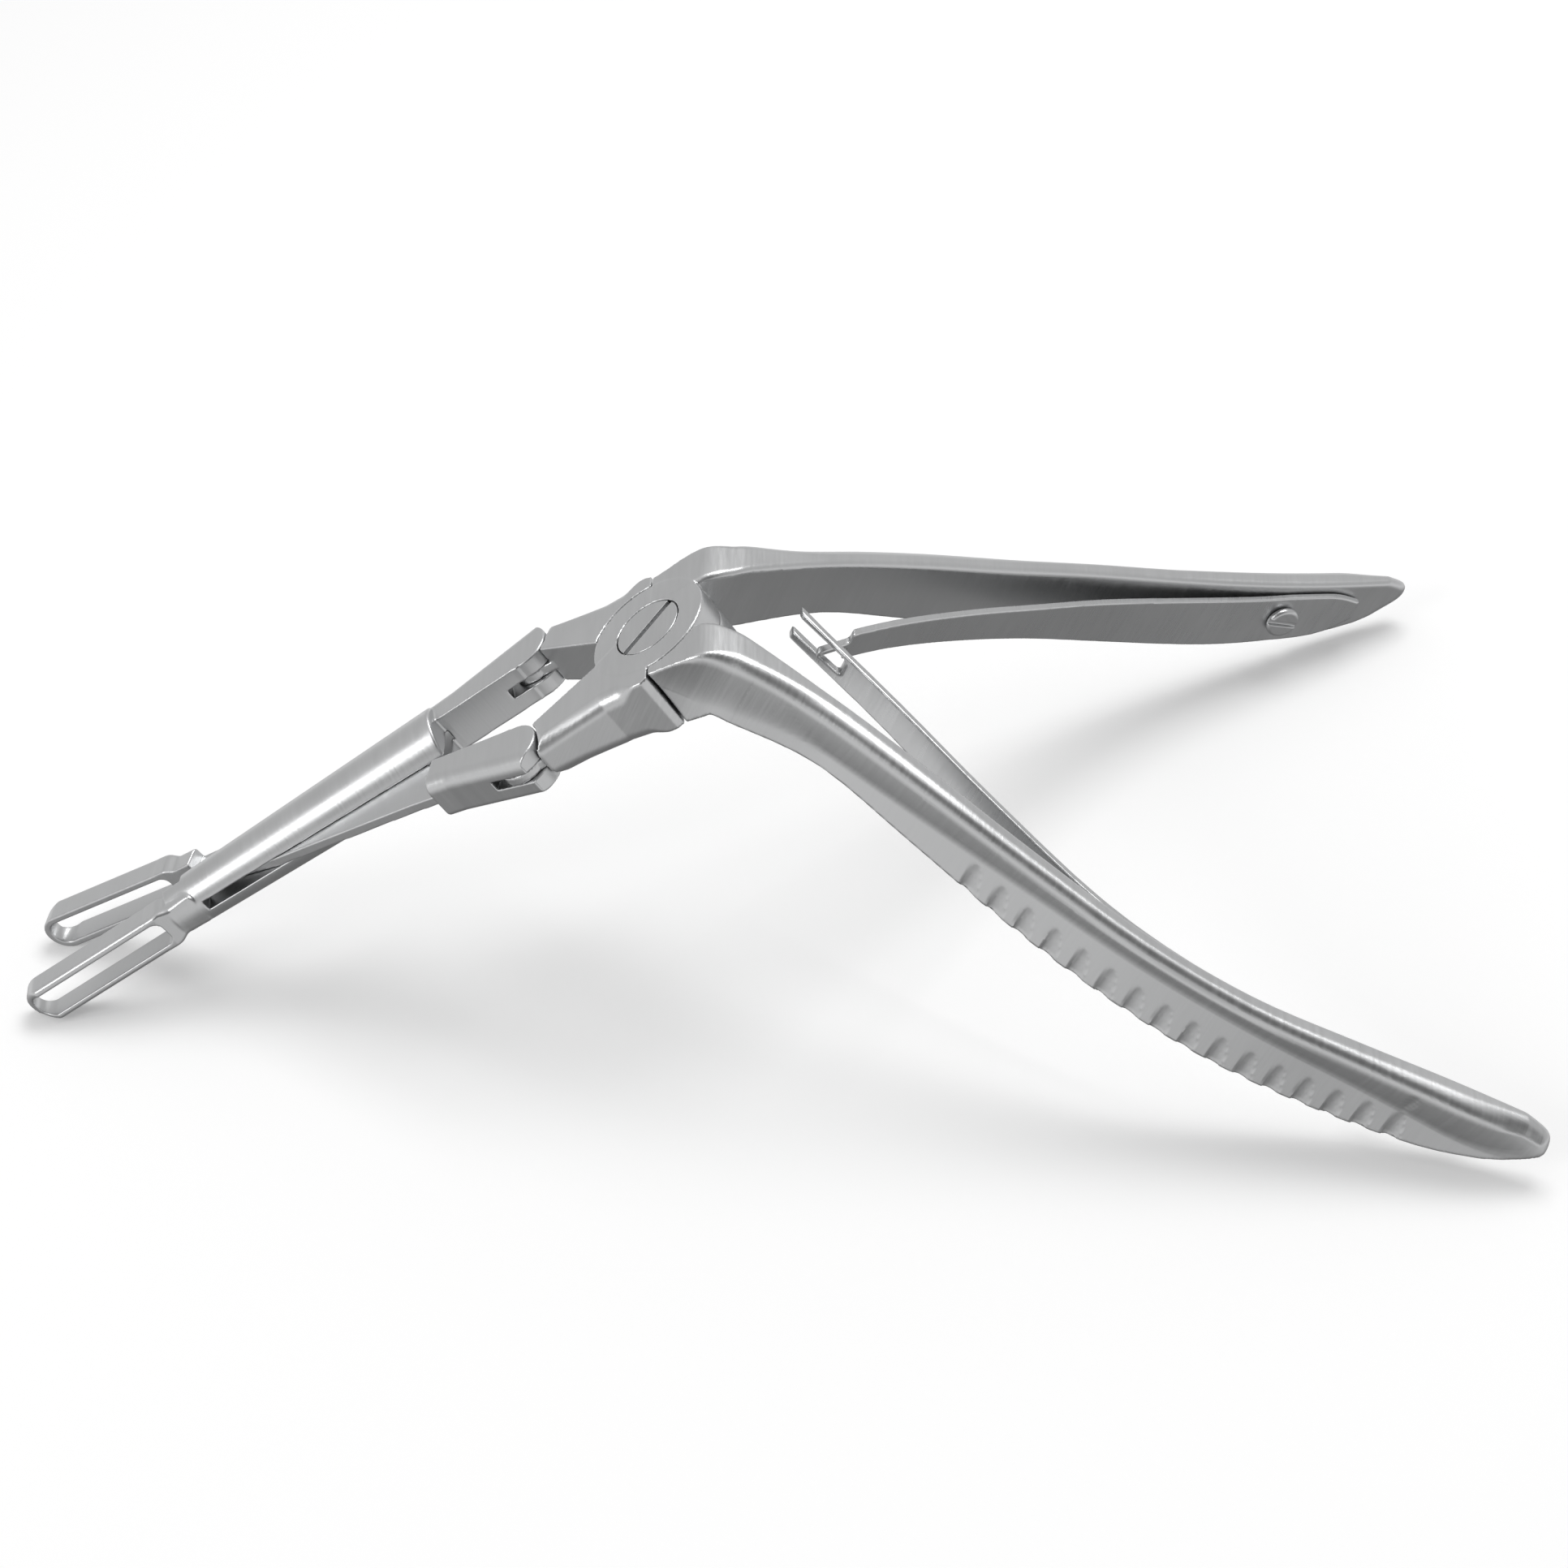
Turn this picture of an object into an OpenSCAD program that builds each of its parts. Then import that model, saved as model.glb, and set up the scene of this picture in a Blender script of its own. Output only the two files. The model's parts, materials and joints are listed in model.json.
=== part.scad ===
// Double-action septum forceps: two bent handles crossed at a lap joint, driving two
// crossing jaw levers through forked link joints, opened by two interlocking leaf springs.
// Joint space: x runs from the jaws to the handles, y to the far side, z along the pivot,
// with z = 0 on the top face of the joint.

/* [Joint] */
// Thickness of the lap joint along the pivot
joint_t = 8.8; // [8.4:0.1:10]
// Radius of the two round lap faces
disc_r = 8.4; // [8:0.1:9]
// Running gap between sliding faces
gap = 0.06; // [0.04:0.01:0.1]
// Lean of the pivot from vertical, as the tool stands on jaw tips and handle ends
lean = 27.2; // [24:0.1:31]

/* [Pivot screw] */
// Radius of the screw head
head_r = 4.6; // [4:0.1:5]
// Radius of the screw shank
shank_r = 2.6; // [2:0.1:3.2]
// Width of the screwdriver slot
slot_w = 0.9; // [0.6:0.1:1.4]

/* [Linkage] */
// Distance from the main pivot to a link pin
arm_len = 23.2; // [22.5:0.1:24]
// Half angle between the two front arms, tool open
arm_open = 26.35; // [25.5:0.05:27]
// Distance from the main pivot to the box pin, tool open
box_x = 62; // [60:0.5:64]
// Thickness of the jaw levers
lever_t = 6.3; // [5.8:0.1:6.8]
// Thickness of the tongues and of the slots that take them
tongue_t = 1.5; // [1.2:0.1:2]
// Radius of the rounded lever ends
ear_r = 3.8; // [3.4:0.1:4]

/* [Jaws] */
// Reach of the jaws in front of the box pin
jaw_reach = 43.7; // [38:0.5:46]
// Depth of one jaw from its bite edge to its back
jaw_d = 3.9; // [3:0.1:5]
// Height of the jaw loops
jaw_h = 5.9; // [5:0.1:6.2]
// Wall of the jaw loops
jaw_wall = 1.0; // [0.8:0.1:1.4]
// Angle each jaw turns from open to closed
jaw_swing = 8; // [7:0.25:8.5]

/* [Handles] */
// Bend of the handles out of the joint plane
bend = 55; // [52:1:58]
// Thickness of the thin notched strip
strip_t = 2.6; // [2.2:0.1:3.2]
// Thickness of the raised rib above the strip
rib_t = 4.4; // [3.6:0.1:5]
// Number of grip notches on each handle
notches = 16; // [10:1:18]

/* [Springs] */
// Thickness of the leaf springs
spring_t = 1.1; // [0.8:0.1:1.4]
// Distance down the handle of the spring screws
spring_x = 96; // [92:1:100]
// Play of the tongue inside the fork, each side
fork_play = 0.7; // [0.6:0.1:0.9]

/* [Hidden] */
$fn = 96;
steel = [0.70, 0.71, 0.72];
far = 1;
near = -1;
mid_z = -joint_t / 2;

// Link pins and box pin, seen along the pivot
link_x = -arm_len * cos(arm_open);
link_y = arm_len * sin(arm_open);
lever_len = norm([box_x + link_x, link_y]);
lever_open = atan(link_y / (box_x + link_x));
lever_closed = lever_open - jaw_swing;
pin_x = lever_len * cos(lever_closed);
pin_y = lever_len * sin(lever_closed);
handle_swing = arm_open - asin(pin_y / arm_len);

// Levels of the levers and their slots
lever_z = -lever_t;
tongue_z = -lever_t / 2 - tongue_t / 2;
slot_play = 0.05;
shoulder_r = disc_r + 0.15;
link_pin_r = 1.1;
box_pin_r = 1.5;
pin_fit = 0.05;
link_play = 0.3;
skin = 0.6;
box_back = 28;
box_front = 15;
dome_z = -3.3;
far_out = 60;

// Stations down the handle: distance, lower edge, upper edge, offset from the middle plane
STATIONS = [
    [12, -1.6, 8.6, 10.0], [24, -0.2, 8.6, 16.9], [36, -1.8, 7.8, 23.6],
    [50, -3.9, 6.5, 31.2], [64, -4.8, 5.6, 38.6], [78, -5.0, 5.6, 44.3],
    [92, -3.9, 7.0, 48.6], [103, -1.6, 8.5, 52.2]
];
END_TIP = [[111.6, 2.9], [113.6, 4.9], [115.0, 7.0], [114.6, 8.9], [111.5, 9.7]];
RIB_EDGE = 2.0;

// Corners where the root leaves the joint's two faces, in handle space
shoulder_x = 0.4;
root_high = [shoulder_x * cos(bend), shoulder_x * sin(bend)];
root_low = root_high + joint_t * [sin(bend), -cos(bend)];
first_notch = 44.2;
last_notch = 99.3;
notch_r = 1.5;
notch_depth = 0.5;
notch_tilt = 7;

function spline(p, t) = let(
    n = len(p), i = min(floor(t), n - 2), u = t - i,
    a = p[max(i - 1, 0)], b = p[i], c = p[i + 1], d = p[min(i + 2, n - 1)])
    0.5 * (2 * b + (c - a) * u + (2 * a - 5 * b + 4 * c - d) * u * u
           + (3 * b - a - 3 * c + d) * u * u * u);
function curve(p, steps) = [for (k = [0:(len(p) - 1) * steps]) spline(p, k / steps)];
function reversed(p) = [for (k = [len(p) - 1:-1:0]) p[k]];
function column(c) = [for (s = STATIONS) [s[0], s[c]]];
function shifted(p, d) = [for (q = p) q + [0, d]];
plan_line = concat(column(3), [[116, 57.1]]);
plan_curve = curve(plan_line, 3);
function offset_at(x) = lookup(x, plan_curve);

// Spring centre line: along the handle's inner face, then sweeping in to the middle plane
inner_face = -2.1;
spring_gap = 0.3;
cross_x = 22.5;
fork_tip = 18.4;
fork_root = 24.8;
tongue_root = 25.6;
tongue_tip = 21.2;
tongue_w = 0.9;
tip_w = 5.1;
lift = 0.065;
free_from = 76;
root_slope = (offset_at(spring_x + 3) - offset_at(spring_x - 3)) / 6;
function beside(x) = offset_at(x) + inner_face - spring_t / 2 - spring_gap - lift * max(spring_x - x, 0);
sweep = beside(cross_x) / pow(free_from - cross_x, 2);
function spring_y(x) = beside(x) - sweep * pow(max(free_from - x, 0), 2);
spring_end = 108;

module joint_space() rotate([0, -lean, 0]) translate([0, 0, joint_t]) children();
module handle_space() joint_space() rotate([0, bend, 0]) children();
module side(s) mirror([0, s < 0 ? 1 : 0, 0]) children();
module bar(z0, z1) translate([0, 0, z0]) linear_extrude(z1 - z0) children();
module at_link(s) translate([link_x, s * link_y, 0]) children();
module at_box() translate([-box_x, 0, 0]) children();
module at_spring_screw() translate([spring_x, spring_y(spring_x), 2]) rotate([0, 0, atan(root_slope)])
    rotate([-90, 0, 0]) children();

// ---- handles -------------------------------------------------------------------------

module side_profile() polygon(concat(
    curve(concat(column(1), [[109.6, 1.4]]), 4), curve(END_TIP, 4), reversed(curve(column(2), 4))));

module plan_band(inner, outer) polygon(concat(
    shifted(plan_curve, outer), reversed(shifted(plan_curve, inner))));

module across_width() rotate([90, 0, 0]) translate([0, 0, -80]) linear_extrude(80) children();
module along_width() translate([0, 0, -30]) linear_extrude(60) children();

module handle_bar() {
    intersection() {
        across_width() side_profile();
        union() {
            along_width() plan_band(inner_face, inner_face + strip_t);
            intersection() {
                along_width() plan_band(inner_face, inner_face + rib_t);
                translate([0, 0, RIB_EDGE]) cube([130, 80, 20]);
            }
        }
    }
}

module notch_cuts() {
    for (k = [0:notches - 1]) {
        x = first_notch + k * (last_notch - first_notch) / (notches - 1);
        y = offset_at(x) + inner_face + strip_t + notch_r - notch_depth;
        translate([x, y, lookup(x, column(1))]) rotate([-notch_tilt, 0, 0])
            cylinder(r = notch_r, h = 12, center = true);
    }
}

// Solid root between the lap joint and the bar, in handle space
module handle_root() intersection() {
    across_width() polygon([
        [3.7, 5.29], [4.9, 6.6], [6.4, 7.5], [8.4, 8.1], [12, 8.6], [20, 8.6], [20, -0.4],
        [12, -1.6], [10.6, -1.7], [9.6, -1.9], [8.9, -2.9], root_low, root_high]);
    along_width() polygon([
        [-2, 4.2], [4, 4.3], [8, 5.4], [12, 7.7], [16, 10.1], [20, 12.5],
        [20, 16.9], [16, 14.8], [12, 13.3], [8, 12.5], [-2, 12.3]]);
}

module arm_plan() polygon([
    [0.2, -7], [0.2, -10.6], [-0.7, -11.1], [-3, -11.0], [-7, -10.8], [-13, -11.9], [-17, -12.7],
    [-19, -12.5],
    [-19, -8.3], [-18, -7.9], [-7, -1.9], [-2, 2]]);

module tongue_plan() {
    at_link(near) circle(r = ear_r - 0.5);
    polygon([[link_x - 1.5, -link_y + 2.8], [link_x - 1.5, -link_y - 2.8],
             [-15, -12.1], [-15, -7.2]]);
}

module arm_depth() rotate([90, 0, 0]) translate([0, 0, -far_out / 2]) linear_extrude(far_out) polygon([
    [10, 0], [10, -joint_t], [0.2, -joint_t], [-3, -joint_t + 0.1], [-8, -8.0],
    [-13, -6.9], [-17, -lever_t], [-30, -lever_t], [-30, 0]]);

// One handle, drawn for the far side; layer is the half of the joint that its disc fills
module handle(layer) {
    own_z = layer > 0 ? mid_z + gap / 2 : -joint_t;
    other_z = layer > 0 ? -joint_t : mid_z - gap / 2;
    half = joint_t / 2 - gap / 2;
    difference() {
        union() {
            translate([0, 0, own_z]) cylinder(r = disc_r, h = half);
            difference() {
                union() {
                    intersection() {
                        difference() {
                            bar(-joint_t, 0) arm_plan();
                            at_link(near) bar(-20, 5) circle(r = ear_r + 0.2);
                        }
                        arm_depth();
                    }
                    rotate([0, bend, 0]) handle_root();
                    rotate([0, bend, 0]) handle_bar();
                }
                translate([0, 0, other_z - (layer > 0 ? 1 : 0)])
                    cylinder(r = shoulder_r, h = joint_t / 2 + gap / 2 + 1);
            }
            bar(tongue_z + slot_play, tongue_z + tongue_t - slot_play) tongue_plan();
        }
        rotate([0, bend, 0]) notch_cuts();
        at_link(near) bar(-20, 5) circle(r = link_pin_r + (layer > 0 ? pin_fit : link_play));
        rotate([0, bend, 0]) at_spring_screw() translate([0, 0, -4]) cylinder(r = 1.0, h = 6.8);
    }
}

module far_handle() color(steel) joint_space() difference() {
    handle(1);
    bar(-20, 5) circle(r = shank_r + pin_fit);
    bar(mid_z + 2.2, 5) circle(r = head_r + 0.13);
}

module near_handle() color(steel) joint_space() mirror([0, 1, 0]) difference() {
    handle(-1);
    bar(-joint_t + 1.2, 5) circle(r = shank_r + 0.02);
}

module pivot_screw() color(steel) joint_space() difference() {
    union() {
        bar(mid_z + 2.25, -0.05) circle(r = head_r);
        bar(-joint_t + 1.3, mid_z + 2.3) circle(r = shank_r);
    }
    rotate(43) translate([-10, -slot_w / 2, -0.95]) cube([20, slot_w, 3]);
}

// ---- jaw levers, drawn closed with the box pin at the origin --------------------------

module rear_plan() polygon([
    [pin_x - 1, pin_y + ear_r], [46 - 1.2, pin_y + ear_r], [31, 5.4], [26, 4.9], [22, 4.4], [22, -2],
    [27.2, 0.2], [pin_x - 1, pin_y - ear_r]]);

module jaw_plan() polygon([
    [-box_front, -0.02], [-jaw_reach, -0.02], [-jaw_reach, -jaw_d + 2], [-jaw_reach + 3, -jaw_d],
    [-20, -jaw_d], [-17.5, -3.3], [-box_front + 1, -3.3]]);

module jaw_loop(grow) {
    r = jaw_h / 2 - grow;
    back = -18.5 - grow * 1.4;
    translate([-jaw_reach + jaw_h / 2, 0]) circle(r = r);
    translate([-jaw_reach + jaw_h / 2, -r]) square([jaw_reach - jaw_h / 2 + back - 1, 2 * r]);
    translate([back - 1.5, -r + 1.2]) square([1.5, 2 * r - 2.4]);
    for (s = [-1, 1]) translate([back - 1.2, s * (r - 1.2)]) circle(r = 1.2);
}

module jaw_side() {
    jaw_loop(0);
    polygon([[-21, -2.2], [-21, 2.2], [-10, 2.9], [0, 3.2], [0, -2.9], [-10, -2.9]]);
}

module along_y() translate([0, 0, -3.15]) rotate([90, 0, 0]) translate([0, 0, -20])
    linear_extrude(40) children();

module front_jaw() difference() {
    intersection() {
        along_y() jaw_side();
        bar(-10, 5) jaw_plan();
    }
    along_y() jaw_loop(jaw_wall);
}

module dome(r0, r1) translate([-18, 0, dome_z]) rotate([0, 90, 0])
    cylinder(r1 = r0, r2 = r1, h = 48);

module lever_at(s) at_box() rotate(s * jaw_swing) children();

module top_lever_shape() difference() {
    union() {
        intersection() {
            bar(lever_z, 0) rear_plan();
            bar(-20, 5) difference() {
                circle(r = 70);
                circle(r = box_back - 4);
            }
        }
        at_pin() bar(lever_z, 0) circle(r = ear_r);
        intersection() {
            dome(3.6, 4.9);
            bar(lever_z, 5) circle(r = box_back);
            bar(lever_z, 5) {
                circle(r = box_front - 0.05);
                translate([0, -9]) square([50, 18]);
                translate([-18, -9]) square([20, 9]);
            }
        }
        front_jaw();
    }
    bar(tongue_z, tongue_z + tongue_t) difference() {
        circle(r = box_back + 0.3);
        translate([-60, -20]) square([60 - box_front, 40]);
        translate([-box_front - 1, -20]) square([3, 19.2]);
    }
    link_slot();
    at_pin() bar(-20, -skin) circle(r = link_pin_r);
    bar(-20, -skin) circle(r = box_pin_r);
    bite_side();
}

module at_pin() translate([pin_x, pin_y, 0]) children();

module link_slot() at_pin() rotate(lever_closed - 3) bar(tongue_z, tongue_z + tongue_t) {
    circle(r = ear_r - 0.2);
    translate([-4.2, -8]) square([16, 16]);
}

// Keeps the front half of a lever on its own side of the bite plane
module bite_side() bar(-20, 10) polygon([
    [-60, 0.01], [-box_front - 1.2, 0.01], [-box_front, 6], [-60, 6]]);

module bottom_lever_shape() difference() {
    union() {
        intersection() {
            bar(lever_z, 0) rear_plan();
            bar(-20, 5) difference() {
                circle(r = 70);
                circle(r = box_back + 0.3);
            }
        }
        at_pin() bar(lever_z, 0) circle(r = ear_r);
        bar(tongue_z + slot_play, tongue_z + tongue_t - slot_play) {
            polygon([[31, 5.0], [24, 4.5], [0, 3.9], [-12.5, 2.2], [-12.5, 0.6], [-14.7, 0.6],
                     [-14.7, -0.1], [-box_front - 1.5, -0.1], [-box_front - 1.5, -3.2],
                     [0, -3.9], [24, -4.2], [28, 0.4], [31, 1.5]]);
        }
        difference() {
            front_jaw();
            bar(-20, 5) circle(r = box_front + 0.05);
        }
    }
    link_slot();
    at_pin() bar(-20, -skin) circle(r = link_pin_r);
    bar(-20, 5) circle(r = box_pin_r + pin_fit);
    bite_side();
}

module top_jaw_lever() color(steel) joint_space() lever_at(1) top_lever_shape();

module bottom_jaw_lever() color(steel) joint_space() mirror([0, 1, 0])
    lever_at(1) bottom_lever_shape();

module box_pin() color(steel) joint_space() at_box()
    bar(lever_z + 0.05, -skin - 0.05) circle(r = box_pin_r - 0.01);

module link_pin() bar(lever_z + 0.05, -skin - 0.05) circle(r = link_pin_r - 0.01);
module far_link_pin() color(steel) joint_space() at_link(far) link_pin();
module near_link_pin() color(steel) joint_space() at_link(near) link_pin();

// ---- leaf springs ---------------------------------------------------------------------

module spring_plan(tip) {
    steps = [for (k = [0:30]) tip + (spring_end - tip) * k / 30];
    polygon(concat([for (x = steps) [x, spring_y(x) + spring_t / 2]],
                   reversed([for (x = steps) [x, spring_y(x) - spring_t / 2]])));
}

module spring_side() polygon(concat(
    [[10, 3.0], [32, 2.2], [50, -1.0], [66, -4.1], [80, -4.7], [92, -3.3], [103, -0.4], [108, 3.4]],
    [[107.5, 6.4], [104, 7.0], [100, 6.6], [90, 4.9], [76, 3.3], [60, 3.2], [45, 4.9], [32, 6.5],
     [10, 7.1]]));

// A leaf as far as its tip, with the hole for its screw
module leaf(tip) difference() {
    intersection() {
        along_width() spring_plan(tip);
        across_width() spring_side();
    }
    at_spring_screw() cylinder(r = 1.6, h = 6, center = true);
}

module far_spring() color(steel) handle_space() difference() {
    leaf(tongue_tip);
    translate([tongue_tip - 5, -10, tip_w + tongue_w / 2]) cube([tongue_root - tongue_tip + 5, 30, 5]);
    translate([tongue_tip - 5, -10, tip_w - tongue_w / 2 - 5]) cube([tongue_root - tongue_tip + 5, 30, 5]);
}

module near_spring() color(steel) handle_space() mirror([0, 1, 0]) difference() {
    leaf(fork_tip);
    translate([fork_tip - 5, -10, tip_w - tongue_w / 2 - fork_play])
        cube([fork_root - fork_tip + 5, 30, tongue_w + 2 * fork_play]);
}

module spring_screw() at_spring_screw() {
    difference() {
        translate([0, 0, -spring_t / 2 - 1.35]) cylinder(r = 2.5, h = 1.15);
        translate([-3, -0.4, -spring_t / 2 - 2]) cube([6, 0.8, 1.2]);
    }
    translate([0, 0, -spring_t / 2 - 0.3]) cylinder(r = 0.98, h = 3.4);
}
module far_spring_screw() color(steel) handle_space() spring_screw();
module near_spring_screw() color(steel) handle_space() mirror([0, 1, 0]) spring_screw();

far_handle();
near_handle();
pivot_screw();
top_jaw_lever();
bottom_jaw_lever();
box_pin();
far_link_pin();
near_link_pin();
far_spring();
near_spring();
far_spring_screw();
near_spring_screw();
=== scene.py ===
import json
import math
import bpy
import numpy as np
from mathutils import Matrix, Vector


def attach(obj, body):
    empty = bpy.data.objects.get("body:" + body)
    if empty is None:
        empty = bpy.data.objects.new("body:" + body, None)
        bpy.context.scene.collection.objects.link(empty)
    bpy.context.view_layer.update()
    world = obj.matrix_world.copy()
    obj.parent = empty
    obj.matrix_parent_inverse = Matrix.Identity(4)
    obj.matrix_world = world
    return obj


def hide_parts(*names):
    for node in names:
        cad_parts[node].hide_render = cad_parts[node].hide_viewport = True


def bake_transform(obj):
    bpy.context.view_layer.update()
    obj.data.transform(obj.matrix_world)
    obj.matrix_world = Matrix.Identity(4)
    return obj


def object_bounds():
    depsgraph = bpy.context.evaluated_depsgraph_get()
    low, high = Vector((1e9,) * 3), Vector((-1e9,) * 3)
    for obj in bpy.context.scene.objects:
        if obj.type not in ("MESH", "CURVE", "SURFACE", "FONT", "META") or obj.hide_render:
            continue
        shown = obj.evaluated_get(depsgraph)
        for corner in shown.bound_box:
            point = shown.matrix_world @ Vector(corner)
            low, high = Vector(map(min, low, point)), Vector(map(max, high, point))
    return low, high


bl_info = {
    "name": "Double-action forceps",
    "version": (1, 0, 0),
    "blender": (4, 5, 0),
    "location": "View3D > Sidebar > Forceps",
    "description": "Builds the ground steel pieces of double-action forceps on their packed frame",
    "category": "Add Mesh",
}

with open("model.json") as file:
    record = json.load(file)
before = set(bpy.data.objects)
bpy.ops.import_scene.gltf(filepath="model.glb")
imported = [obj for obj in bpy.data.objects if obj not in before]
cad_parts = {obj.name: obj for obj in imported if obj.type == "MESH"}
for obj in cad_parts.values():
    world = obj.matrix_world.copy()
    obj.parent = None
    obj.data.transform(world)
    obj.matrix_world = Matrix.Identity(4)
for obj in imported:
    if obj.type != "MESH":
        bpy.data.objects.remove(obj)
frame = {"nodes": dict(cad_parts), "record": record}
CAD_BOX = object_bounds()
MM = 0.001

# ---- places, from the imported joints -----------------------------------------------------

JOINTS = {joint["name"]: joint for joint in frame["record"]["behaviour"]["joints"]}
PIVOT_AXIS = Vector(JOINTS["handle_close"]["axis"])
WIDTH_AXIS = Vector(JOINTS["far_spring_flex"]["axis"])
ACROSS = Vector((0, 1, 0))
JOINT_T = 8.8
TOP_CENTRE = PIVOT_AXIS * JOINT_T


def space(up):
    """The frame whose z is up, whose y is the row's, and whose origin is the top of the joint, in mm."""
    matrix = Matrix.Identity(4)
    for column, axis in enumerate((ACROSS.cross(up), ACROSS, up)):
        matrix.col[column].xyz = axis
    matrix.translation = TOP_CENTRE
    return matrix


JOINT_SPACE = space(PIVOT_AXIS)
HANDLE_SPACE = space(WIDTH_AXIS)
BEND = math.acos(PIVOT_AXIS.dot(WIDTH_AXIS))
MIRROR = Matrix.Scale(-1, 4, ACROSS)


def in_joint(name):
    """A joint's centre in joint space, in mm."""
    return JOINT_SPACE.inverted() @ (Vector(JOINTS[name]["pos_m"]) / MM)


BOX_PIN = in_joint("box_pivot")
NEAR_LINK = in_joint("near_link")
MID = -JOINT_T / 2
LINK = Vector((NEAR_LINK.x, abs(NEAR_LINK.y)))
LEVER_T = -2 * BOX_PIN.z
JAW_SWING = math.radians(-JOINTS["box_pivot"]["range_deg"][0] / 2)
LEVER_PIN = Matrix.Rotation(-JAW_SWING, 2) @ Vector((LINK.x - BOX_PIN.x, LINK.y))
SPRING_SCREW = HANDLE_SPACE.inverted() @ (Vector(JOINTS["far_spring_flex"]["pos_m"]) / MM)


# ---- solid modelling on a grid ------------------------------------------------------------

FAR = 4.0


def both(a, b, r):
    """Where two solids overlap, with the edge between them rounded to radius r."""
    return np.minimum(np.maximum(a, b), -r) + np.hypot(np.maximum(a + r, 0), np.maximum(b + r, 0))


def either(a, b, r):
    """Two solids joined, with a fillet of radius r."""
    return -both(-a, -b, r)


def without(a, b, r):
    """The first solid with the second cut away, and the rim rounded."""
    return both(a, -b, r)


def slab(z, low, high):
    return np.maximum(low - z, z - high)


def ease(t):
    t = np.clip(t, 0, 1)
    return t * t * (3 - 2 * t)


def outline(points, u, v):
    """Signed distance from a closed outline in the plane of u and v, below zero inside it."""
    u, v = np.broadcast_arrays(u, v)
    best = np.full(u.shape, 1e9, np.float32)
    inside = np.zeros(u.shape, bool)
    for (ax, ay), (bx, by) in zip(points, list(points[1:]) + [points[0]]):
        ex, ey = bx - ax, by - ay
        length = ex * ex + ey * ey
        if length == 0:
            continue
        t = np.clip(((u - ax) * ex + (v - ay) * ey) / length, 0, 1)
        best = np.minimum(best, (u - ax - t * ex) ** 2 + (v - ay - t * ey) ** 2)
        if ey:
            inside ^= ((ay > v) != (by > v)) & (u < ex * (v - ay) / ey + ax)
    return np.where(inside, -1, 1) * np.sqrt(best)


def spline(points, steps):
    """A smooth curve through the points."""
    p = np.array(points, float)
    t = np.linspace(0, len(p) - 1, (len(p) - 1) * steps + 1)
    i = np.minimum(t.astype(int), len(p) - 2)
    u = (t - i)[:, None]
    a, b, c, d = (p[np.clip(i + k, 0, len(p) - 1)] for k in (-1, 0, 1, 2))
    return 0.5 * (2 * b + (c - a) * u + (2 * a - 5 * b + 4 * c - d) * u ** 2
                  + (3 * b - a - 3 * c + d) * u ** 3)


class Block:
    """A box of space sampled on a grid. Solids are added to it, and skin makes its surface."""

    def __init__(self, x, y, z, shift=None):
        self.axes = [np.asarray(a, np.float32) for a in (x, y, z)]
        self.shift = shift or (lambda at: np.zeros_like(at))
        self.value = np.full([len(a) for a in self.axes], FAR, np.float32)

    def window(self, x=None, y=None, z=None):
        """The part of the grid between the given limits, as slices and coordinates."""
        cuts = []
        for axis, limits in zip(self.axes, (x, y, z)):
            low, high = limits or (axis[0], axis[-1])
            cuts.append(slice(*np.searchsorted(axis, (low - 1e-4, high + 1e-4))))
        x, y, z = (a[c] for a, c in zip(self.axes, cuts))
        x, y, z = x[:, None, None], y[None, :, None], z[None, None, :]
        return tuple(cuts), x, y + self.shift(x), z


def trilinear(c, u):
    """Value and slope inside each grid cell at u, from the values at its corners."""
    x, y, z = (u[:, k, None, None] for k in range(3))
    a = c[:, 0] * (1 - x) + c[:, 1] * x
    y, z = y[:, :, 0], z[:, :, 0]
    b = a[:, 0] * (1 - y) + a[:, 1] * y
    value = b[:, 0] * (1 - z[:, 0]) + b[:, 1] * z[:, 0]
    dz = b[:, 1] - b[:, 0]
    by = a[:, 1] - a[:, 0]
    dy = by[:, 0] * (1 - z[:, 0]) + by[:, 1] * z[:, 0]
    ax = c[:, 1] - c[:, 0]
    ax = ax[:, 0] * (1 - y) + ax[:, 1] * y
    dx = ax[:, 0] * (1 - z[:, 0]) + ax[:, 1] * z[:, 0]
    return value, np.stack([dx, dy, dz], 1)


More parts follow.
